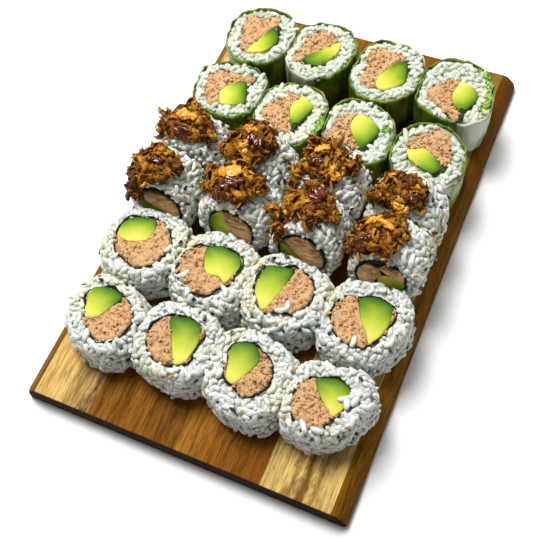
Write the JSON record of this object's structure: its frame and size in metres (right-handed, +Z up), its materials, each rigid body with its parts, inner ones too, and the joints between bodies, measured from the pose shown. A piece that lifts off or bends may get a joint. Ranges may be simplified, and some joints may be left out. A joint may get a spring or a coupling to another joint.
{
  "type": "uramaki platter",
  "caption": "Cut inside-out and wrapped sushi rolls on an acacia board: some stand with the cut face up, some lie on their side under crisp fried onion.",
  "frame": {"origin": "on the board's underside, below the centre of its flat top", "axes": "+X across the board, left to right as seen from its bare front end; +Y from the front end to the back; +Z up"},
  "size_m": [0.1888, 0.2949, 0.0658],
  "materials": {
    "acacia": "oiled acacia in glued strips, pale sapwood at the two long sides",
    "sushi_rice": "cooked short-grain rice, moist and slightly see-through",
    "green_wrap": "thin wrinkled green wrap, moist, whitish where it is stretched over the rice",
    "fried_onion": "crisp fried onion flakes, golden to dark brown",
    "nori": "damp seaweed sheet, nearly black",
    "tuna_salad": "flaked cooked tuna in dressing, peach tan with dark crevices",
    "avocado": "ripe avocado, green at the skin side and yellow inside",
    "breaded_strip": "brown cooked strip with a darker crust",
    "orange_mayo": "glossy orange dressing",
    "brown_sauce": "glossy dark reddish-brown sweet sauce",
    "sesame": "black and toasted tan sesame seeds"
  },
  "bodies": {
    "root": {"board": "acacia", "front_roll_1": "sushi_rice", "front_roll_2": "sushi_rice", "front_roll_3": "sushi_rice", "front_roll_4": "sushi_rice", "second_roll_1": "sushi_rice", "second_roll_2": "sushi_rice", "second_roll_3": "sushi_rice", "second_roll_4": "sushi_rice", "near_topped_roll_1": "sushi_rice", "near_topped_roll_2": "sushi_rice", "near_topped_roll_3": "sushi_rice", "near_topped_roll_4": "sushi_rice", "far_topped_roll_1": "sushi_rice", "far_topped_roll_2": "sushi_rice", "far_topped_roll_3": "sushi_rice", "far_topped_roll_4": "sushi_rice", "near_onion_heap_1": "fried_onion", "near_onion_heap_2": "fried_onion", "near_onion_heap_3": "fried_onion", "near_onion_heap_4": "fried_onion", "far_onion_heap_1": "fried_onion", "far_onion_heap_2": "fried_onion", "far_onion_heap_3": "fried_onion", "far_onion_heap_4": "fried_onion", "near_wrapped_roll_1": "green_wrap", "near_wrapped_roll_2": "green_wrap", "near_wrapped_roll_3": "green_wrap", "near_wrapped_roll_4": "green_wrap", "far_wrapped_roll_1": "green_wrap", "far_wrapped_roll_2": "green_wrap", "far_wrapped_roll_3": "green_wrap", "far_wrapped_roll_4": "green_wrap"}
  },
  "joints": []
}
